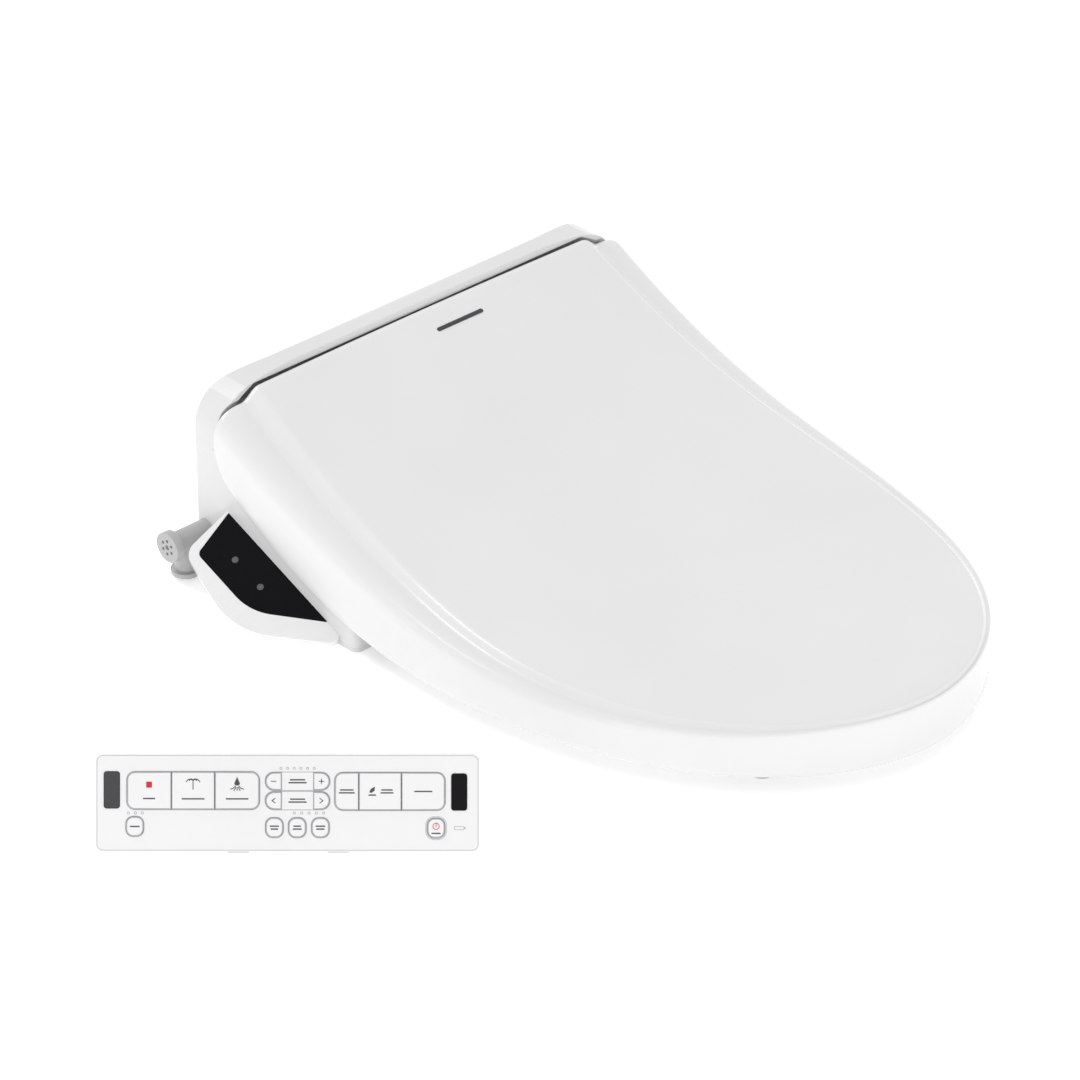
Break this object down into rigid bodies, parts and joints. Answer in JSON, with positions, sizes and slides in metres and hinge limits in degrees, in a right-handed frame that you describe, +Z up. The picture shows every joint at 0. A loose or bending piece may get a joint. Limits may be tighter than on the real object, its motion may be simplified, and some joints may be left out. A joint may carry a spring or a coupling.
{
  "type": "electric bidet seat",
  "caption": "Elongated electric bidet seat with a ski-slope lid, side status panel, water inlet, two wash wands and a separate remote control in a cradle.",
  "frame": {"origin": "midway between the two bowl bolts, on the underside that rests on the bowl rim", "axes": "+Z up, -Y towards the front of the bowl, +X to the seated user's left"},
  "size_m": [0.6998, 0.54, 0.146],
  "materials": {
    "white_gloss": "high-gloss moulded",
    "white_casing": "gloss moulded",
    "white_satin": "satin moulded",
    "black_gloss": "polished black",
    "lamp_lens": "frosted lens",
    "grey_plastic": "fine grain",
    "dark_plastic": "fine grain",
    "rubber": "soft matt",
    "steel": "turned",
    "board": "solder mask",
    "heater_film": "polyimide film",
    "tank": "natural resin",
    "battery_sleeve": "sleeve",
    "key_white": "satin print",
    "ir_dark": "dark filter"
  },
  "bodies": {
    "fixed_plate": {"mounting_plate": "white_satin", "bolt_plates": "grey_plastic", "remote_cradle": "white_satin"},
    "unit": {"base_tray": "white_satin", "rear_cover": "white_casing", "side_bezel": "white_casing", "panel_window": "black_gloss", "status_lamps": "lamp_lens", "hinge_pins": "steel", "hinge_dampers": "dark_plastic", "inlet_tee": "white_satin", "solenoid_valve": "grey_plastic", "water_heater": "tank", "water_pump": "dark_plastic", "nozzle_guide": "grey_plastic", "nozzle_motors": "steel", "dryer_housing": "dark_plastic", "dryer_duct": "grey_plastic", "control_board": "board", "power_supply": "dark_plastic", "cord_gland": "grey_plastic", "night_light": "lamp_lens", "housing_screws": "steel"},
    "strainer": {"strainer_plug": "white_satin"},
    "rear_wand": {"nozzle_rear": "white_gloss", "nozzle_rear_tip": "steel"},
    "front_wand": {"nozzle_front": "white_gloss", "nozzle_front_tip": "steel"},
    "fan": {"dryer_impeller": "white_satin"},
    "outlet_flap": {"dryer_flap": "white_casing"},
    "unit_button": {"release_button": "grey_plastic"},
    "seat": {"seat_top": "white_gloss", "seat_bottom": "white_satin", "seat_heater": "heater_film", "seat_bumpers": "rubber", "seat_arms": "white_gloss"},
    "lid": {"lid_shell": "white_gloss", "lid_arms": "white_gloss", "lid_bumpers": "rubber", "lid_badge": "dark_plastic"},
    "remote": {"remote_front": "key_white", "remote_back": "white_satin", "ir_windows": "ir_dark", "batteries": "battery_sleeve"},
    "battery_door": {"battery_cover": "white_satin"},
    "key_stop": {"key_stop": "key_white"},
    "key_rear_wash": {"key_rear_wash": "key_white"},
    "key_front_wash": {"key_front_wash": "key_white"},
    "key_spray_less": {"key_spray_less": "key_white"},
    "key_spray_more": {"key_spray_more": "key_white"},
    "key_nozzle_forward": {"key_nozzle_forward": "key_white"},
    "key_nozzle_back": {"key_nozzle_back": "key_white"},
    "key_nozzle_clean": {"key_nozzle_clean": "key_white"},
    "key_power_save": {"key_power_save": "key_white"},
    "key_massage": {"key_massage": "key_white"},
    "key_dryer": {"key_dryer": "key_white"},
    "key_night_light": {"key_night_light": "key_white"},
    "key_seat_heat": {"key_seat_heat": "key_white"},
    "key_water_heat": {"key_water_heat": "key_white"},
    "key_power": {"key_power": "key_white"}
  },
  "joints": [
    {"name": "unit_release", "type": "slide", "parent": "fixed_plate", "child": "unit", "axis": [0, -1, 0], "range_m": [0, 0.06]},
    {"name": "seat_raise", "type": "hinge", "parent": "unit", "child": "seat", "pos_m": [0, 0.047, 0.124], "axis": [-1, 0, 0], "range_deg": [0, 90]},
    {"name": "lid_open", "type": "hinge", "parent": "seat", "child": "lid", "pos_m": [0, 0.047, 0.124], "axis": [1, 0, 0], "range_deg": [-100, 0]},
    {"name": "rear_wand_extend", "type": "slide", "parent": "unit", "child": "rear_wand", "axis": [0, -0.9063, -0.4226], "range_m": [0, 0.085]},
    {"name": "front_wand_extend", "type": "slide", "parent": "unit", "child": "front_wand", "axis": [0, -0.9063, -0.4226], "range_m": [0, 0.085]},
    {"name": "strainer_turn", "type": "hinge", "parent": "unit", "child": "strainer", "pos_m": [-0.228, 0.072, 0.0304], "axis": [-1, 0, 0], "range_deg": [0, 90]},
    {"name": "fan_spin", "type": "hinge", "parent": "unit", "child": "fan", "pos_m": [0.075, 0.016, 0.052], "axis": [1, 0, 0], "continuous": true},
    {"name": "outlet_flap_swing", "type": "hinge", "parent": "unit", "child": "outlet_flap", "pos_m": [0.075, -0.0646, 0.0252], "axis": [-1, 0, 0], "range_deg": [0, 60]},
    {"name": "unit_button_press", "type": "slide", "parent": "unit", "child": "unit_button", "axis": [-1, 0, 0], "range_m": [0, 0.003], "stiffness_N_per_m": 800},
    {"name": "remote_lift", "type": "slide", "parent": "fixed_plate", "child": "remote", "axis": [0.3563, 0.3821, 0.8526], "range_m": [0, 0.1]},
    {"name": "battery_door_slide", "type": "slide", "parent": "remote", "child": "battery_door", "axis": [0.7314, -0.682, 0], "range_m": [0, 0.05]},
    {"name": "key_stop_press", "type": "slide", "parent": "remote", "child": "key_stop", "axis": [0.5815, 0.6236, -0.5225], "range_m": [0, 0.0006], "stiffness_N_per_m": 500},
    {"name": "key_rear_wash_press", "type": "slide", "parent": "remote", "child": "key_rear_wash", "axis": [0.5815, 0.6236, -0.5225], "range_m": [0, 0.0006], "stiffness_N_per_m": 500},
    {"name": "key_front_wash_press", "type": "slide", "parent": "remote", "child": "key_front_wash", "axis": [0.5815, 0.6236, -0.5225], "range_m": [0, 0.0006], "stiffness_N_per_m": 500},
    {"name": "key_spray_less_press", "type": "slide", "parent": "remote", "child": "key_spray_less", "axis": [0.5815, 0.6236, -0.5225], "range_m": [0, 0.0006], "stiffness_N_per_m": 500},
    {"name": "key_spray_more_press", "type": "slide", "parent": "remote", "child": "key_spray_more", "axis": [0.5815, 0.6236, -0.5225], "range_m": [0, 0.0006], "stiffness_N_per_m": 500},
    {"name": "key_nozzle_forward_press", "type": "slide", "parent": "remote", "child": "key_nozzle_forward", "axis": [0.5815, 0.6236, -0.5225], "range_m": [0, 0.0006], "stiffness_N_per_m": 500},
    {"name": "key_nozzle_back_press", "type": "slide", "parent": "remote", "child": "key_nozzle_back", "axis": [0.5815, 0.6236, -0.5225], "range_m": [0, 0.0006], "stiffness_N_per_m": 500},
    {"name": "key_nozzle_clean_press", "type": "slide", "parent": "remote", "child": "key_nozzle_clean", "axis": [0.5815, 0.6236, -0.5225], "range_m": [0, 0.0006], "stiffness_N_per_m": 500},
    {"name": "key_power_save_press", "type": "slide", "parent": "remote", "child": "key_power_save", "axis": [0.5815, 0.6236, -0.5225], "range_m": [0, 0.0006], "stiffness_N_per_m": 500},
    {"name": "key_massage_press", "type": "slide", "parent": "remote", "child": "key_massage", "axis": [0.5815, 0.6236, -0.5225], "range_m": [0, 0.0006], "stiffness_N_per_m": 500},
    {"name": "key_dryer_press", "type": "slide", "parent": "remote", "child": "key_dryer", "axis": [0.5815, 0.6236, -0.5225], "range_m": [0, 0.0006], "stiffness_N_per_m": 500},
    {"name": "key_night_light_press", "type": "slide", "parent": "remote", "child": "key_night_light", "axis": [0.5815, 0.6236, -0.5225], "range_m": [0, 0.0006], "stiffness_N_per_m": 500},
    {"name": "key_seat_heat_press", "type": "slide", "parent": "remote", "child": "key_seat_heat", "axis": [0.5815, 0.6236, -0.5225], "range_m": [0, 0.0006], "stiffness_N_per_m": 500},
    {"name": "key_water_heat_press", "type": "slide", "parent": "remote", "child": "key_water_heat", "axis": [0.5815, 0.6236, -0.5225], "range_m": [0, 0.0006], "stiffness_N_per_m": 500},
    {"name": "key_power_press", "type": "slide", "parent": "remote", "child": "key_power", "axis": [0.5815, 0.6236, -0.5225], "range_m": [0, 0.0006], "stiffness_N_per_m": 500}
  ]
}
